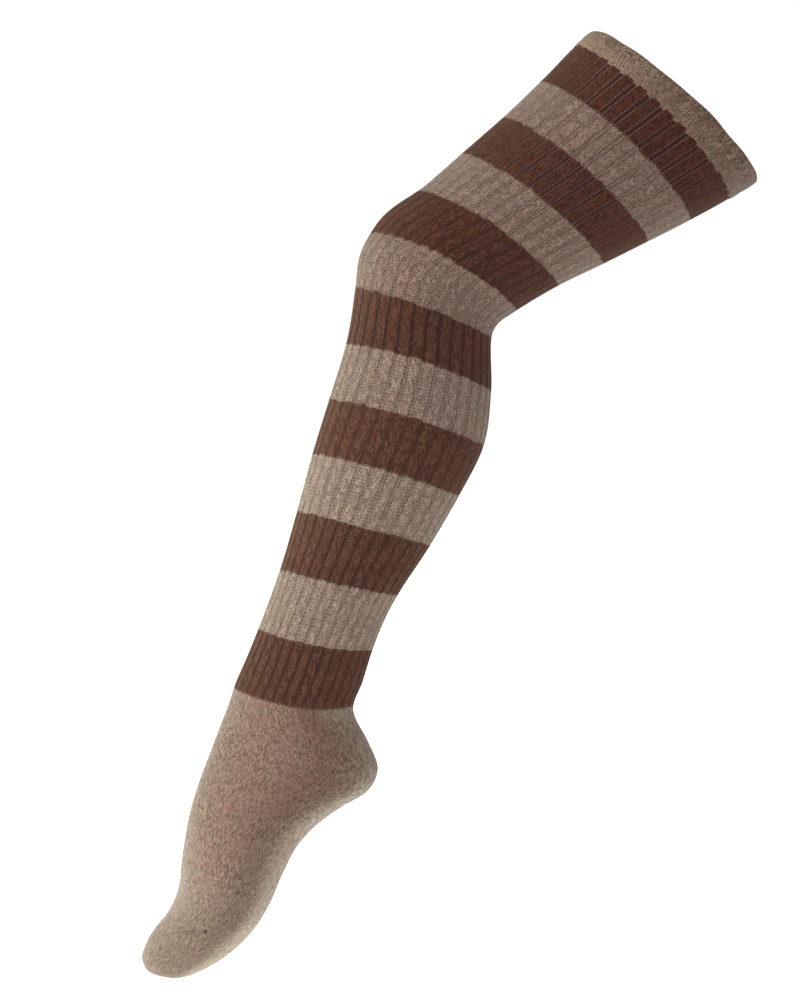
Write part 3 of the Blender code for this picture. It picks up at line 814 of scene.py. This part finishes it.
def yarnMaterial(name, look):
    # the yarn's colour, blended in turn with each mark's by its share and multiplied by the tone, and its
    # relief, from the wale and course numbers
    material = bpy.data.materials.new(name)
    material.use_nodes = True
    tree = material.node_tree
    shader = tree.nodes["Principled BSDF"]
    times, plus, minus = (partial(calc, tree, operation) for operation in ("MULTIPLY", "ADD", "SUBTRACT"))
    middle, chance, fade, clouds, blend = (
        partial(made, tree) for made in (fromMiddle, dice2, smooth, noise, blendColour))

    parts = tool(tree, "SeparateXYZ")
    tree.links.new(tool(tree, "UVMap", uv_map="knit").outputs[0], parts.inputs[0])
    u, v = parts.outputs[0], parts.outputs[1]
    here = tool(tree, "TexCoord").outputs["Object"]
    toneNode = tool(tree, "Attribute", attribute_name="tone")
    markNode = tool(tree, "Attribute", attribute_name="marks")
    marks = tool(tree, "SeparateColor")
    tree.links.new(markNode.outputs["Color"], marks.inputs[0])
    ladderMark, shadeMark, prickMark, combMark = *marks.outputs[0:3], markNode.outputs["Alpha"]

    # a stitch is a V: its two legs rise from the middle of the wale to its sides
    acrossWale = middle(u)
    rising = plus(v, times(acrossWale, look["rise"]))
    inCourse = middle(rising)
    gap = fade(inCourse, *fades["gap"])
    legDice = chance(plus(times(u, 2.0), grain["legStart"]), rising)
    # dots lie a little higher or lower on each wale
    column = plus(u, 0.5)
    dotRow = plus(plus(v, look["rise"]), times(chance(column, 0.5), grain["dotsApart"]))
    dot = fade(middle(dotRow), look["dotFrom"], look["dotFrom"] + grain["dotWide"])
    dotDice = chance(column, dotRow)
    # wales from the middle of a furrow, and a random number for each rib and stripe
    fromGroove = calc(tree, "ABSOLUTE", minus(
        calc(tree, "FLOORED_MODULO", plus(u, halfRib), knit["walesPerRib"]), halfRib))
    ribDice = chance(calc(tree, "DIVIDE", plus(u, halfRib), knit["walesPerRib"]),
                    calc(tree, "DIVIDE", v, knit["stripeCourses"]))

    speck = clouds(here, *grain["speck"])
    mottle = clouds(here, look["fine"], *grain["mottle"])
    cloud = clouds(here, *grain["cloud"])
    hue = clouds(here, look["hueFine"], *grain["hue"])
    # strokes lean across the wales, as the legs of the stitches do
    lean = tool(tree, "CombineXYZ")
    leaning = plus(u, times(v, look["lean"]))
    tree.links.new(times(leaning, look["narrow"]), lean.inputs[0])
    tree.links.new(times(v, look["long"]), lean.inputs[1])
    stroke = clouds(lean.outputs[0], *grain["stroke"])

    # melange: dark and light fibres round the yarn's own colour
    heather = plus(times(legDice, look["legs"]), plus(
        times(mottle, look["mottle"]), times(stroke, look["stroke"])))
    even = (look["legs"] + look["mottle"] + look["stroke"]) / 2
    light = fade(heather, even - look["spread"], even + look["spread"])
    colour = blend(light, look["dark"], look["light"])
    colour = blend(fade(cloud, *fades["cloud"], look["cloudShare"]), colour, look["cloud"])
    hues = blend(fade(hue, *fades["hue"]), look["rosy"], look["sallow"])
    colour = blend(look["hueShare"], colour, hues, "MULTIPLY")
    # painted shade in the furrows
    groove = times(fade(fromGroove, *fades["groove"]), shadeMark)
    colour = blend(times(groove, look["shadeShare"]), colour, look["shade"])
    glint = times(fade(legDice, *fades["glint"]), minus(1.0, gap))
    colour = blend(times(glint, look["glintShare"]), colour, look["glint"])
    # pricks: painted shade of the holes between the wales
    between = fade(acrossWale, *fades["between"])
    prick = times(times(between, dot), times(prickMark, fade(dotDice, *fades["prick"])))
    colour = blend(prick, colour, look["prick"])
    # ladders: two rails beside each furrow, darkened with painted shade of their holes and of the furrow
    # between them, with dots of held stitches, the pale yarn in the brown and painted shade of the holes in
    # the beige
    beside = calc(tree, "ABSOLUTE", minus(fromGroove, 1.0))
    rail = fade(beside, *fades["rail"])
    held = times(ladderMark, fade(ribDice, *fades["held"], 1.0 - look["ladderDice"], 1.0))
    rail = times(rail, held)
    seam = times(fade(fromGroove, *fades["seam"]), held)
    colour = blend(times(rail, look["railShare"]), colour, look["rail"])
    colour = blend(times(seam, look["seamShare"]), colour, look["rail"])
    dots = times(times(rail, dot), fade(dotDice, *fades["dot"], look["dotLeast"], 1.0))
    colour = blend(dots, colour, look["ladder"])
    if "comb" in look:
        combRow = plus(plus(u, times(cloud, grain["combWander"])),
                       plus(times(v, look["combLean"]), mottle))
        tooth = times(fade(middle(combRow), *fades["comb"]), combMark)
        colour = blend(times(combMark, grain["combMost"]), colour, look["combGap"])
        strokes = times(tooth, fade(mottle, *fades["combMottle"]))
        colour = blend(strokes, colour, look["comb"])
    stray = times(toneNode.outputs["Alpha"], fade(legDice, *fades["stray"]))
    colour = blend(1.0, colour, toneNode.outputs["Color"], "MULTIPLY")
    colour = blend(stray, colour, look["stray"])

    # relief: each leg is the round of a yarn, one less its square, with loose fibres over it
    leg = minus(1.0, calc(tree, "POWER", minus(times(acrossWale, 2.0), 1.0), 2.0))
    yarn = minus(1.0, calc(tree, "POWER", inCourse, 2.0))
    legHeight = plus(times(leg, grain["legRound"]), 1 - grain["legRound"])
    stitch = times(legHeight, times(yarn, fade(legDice, *fades["yarn"])))
    height = plus(times(stitch, look["stitch"]), times(mottle, look["fuzz"]))
    bump = tool(tree, "Bump")
    for name, value in (("Strength", 1.0), ("Distance", mm), ("Height", height)):
        feed(tree, value, bump.inputs[name])
    rough = fade(speck, *fades["roughness"])
    for name, value in (
            ("Base Color", colour), ("Normal", bump.outputs[0]), ("Roughness", rough),
            ("Specular IOR Level", grain["specular"]), ("Sheen Weight", look["sheen"]),
            ("Sheen Roughness", grain["sheenRoughness"]), ("Sheen Tint", look["sheenTint"])):
        feed(tree, value, shader.inputs[name])
    return material


# Each yarn's dark and light fibres, how the stitches' legs, the mottle and the strokes mix them, its marks'
# colours and shares, and its relief. Shade, prick and rail are painted shade in the furrows and holes, as
# is the beige's ladder. Rosy and sallow are factors.
brownLook = {
    "dark": (0.056, 0.021, 0.014), "light": (0.149, 0.062, 0.039), "spread": 0.14,
    "lean": 0.5, "long": 0.28, "narrow": 1.0, "rise": 0.35,
    "legs": 0.22, "mottle": 0.24, "stroke": 0.46, "fine": 1200,
    "cloud": (0.100, 0.043, 0.026), "cloudShare": 0.3,
    "rosy": (1.015, 0.985, 1.07), "sallow": (0.985, 1.015, 0.92), "hueShare": 0.8, "hueFine": 260,
    "shade": (0.040, 0.014, 0.010), "shadeShare": 0.8,
    "prick": (0.022, 0.007, 0.005), "glint": (0.20, 0.10, 0.07), "glintShare": 0.20,
    "ladder": (0.380, 0.260, 0.235), "rail": (0.022, 0.009, 0.008), "railShare": 0.75, "seamShare": 0.50,
    "ladderDice": 0.25, "dotLeast": 0.60, "dotFrom": 0.35,
    "stray": (0.190, 0.140, 0.105),
    "stitch": 0.30, "fuzz": 0.20, "sheen": 0.15, "sheenTint": (0.85, 0.62, 0.48),
}
beigeLook = {
    "dark": (0.150, 0.100, 0.076), "light": (0.370, 0.262, 0.198), "spread": 0.17,
    "lean": 0.7, "long": 0.32, "narrow": 1.0, "rise": 0.35,
    "legs": 0.20, "mottle": 0.40, "stroke": 0.26, "fine": 1400,
    "cloud": (0.238, 0.170, 0.131), "cloudShare": 0.25,
    "rosy": (1.05, 0.96, 1.02), "sallow": (0.96, 1.025, 0.92), "hueShare": 0.85, "hueFine": 400,
    "shade": (0.120, 0.072, 0.056), "shadeShare": 0.6,
    "prick": (0.026, 0.012, 0.010), "glint": (0.52, 0.42, 0.35), "glintShare": 0.35,
    "ladder": (0.022, 0.007, 0.007), "rail": (0.120, 0.068, 0.056), "railShare": 0.40, "seamShare": 0.0,
    "ladderDice": 0.35, "dotLeast": 0.70, "dotFrom": 0.35,
    "stray": (0.110, 0.050, 0.034),
    "stitch": 0.30, "fuzz": 0.25, "sheen": 0.30, "sheenTint": (0.95, 0.88, 0.78),
}
hemLook = {
    **beigeLook, "dark": (0.107, 0.074, 0.059), "light": (0.392, 0.297, 0.234), "spread": 0.22,
    "legs": 0.30, "mottle": 0.44, "stroke": 0.18, "fine": 650,
    "cloud": (0.165, 0.112, 0.078), "cloudShare": 0.55, "hueShare": 1.0, "hueFine": 150,
    "rosy": (1.08, 0.95, 0.98), "sallow": (0.95, 1.03, 0.90),
    "comb": (0.50, 0.39, 0.29), "combGap": (0.12, 0.077, 0.057), "combLean": 0.35,
}
plainLook = {
    **beigeLook, "dark": (0.104, 0.076, 0.057), "light": (0.340, 0.260, 0.194), "spread": 0.18,
    "lean": 0.05, "long": 0.22, "narrow": 1.3,
    "legs": 0.22, "mottle": 0.28, "stroke": 0.50,
    "rosy": (1.06, 0.96, 1.00), "sallow": (0.97, 1.015, 0.93), "hueFine": 200,
    "glintShare": 0.20, "stitch": 0.14, "fuzz": 0.10,
}

looks = {"brownRib": brownLook, "beigeRib": beigeLook, "beigeHem": hemLook, "beigePlain": plainLook}
yarns = {name: yarnMaterial(name, look) for name, look in looks.items()}
print("yarns")


# the sock's pieces


def finish(piece, node, material):
    # give the piece its yarn, hide the part it stands for and attach it to the root
    piece.data.materials.append(material)
    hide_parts(node)
    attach(piece, "root")


course = 0
for name, following in zip(names, names[1:]):
    plain = name in plainNames
    brown = "brown" in name
    yarn = "brownRib" if brown else "beigePlain" if plain else "beigeHem" if name == "welt" else "beigeRib"
    if name == "welt":
        piece, course = addHem(name, following)
    else:
        piece, course = addBand(name, following, course, plain)
    seams = []
    if name == "toe":
        seams = [addToeSeam(toeSeam)]
        seams[0].data.materials.append(yarns[yarn])
        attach(seams[0], "root")
    finish(piece, name, yarns[yarn])
    print(name, len(piece.data.polygons), "faces")
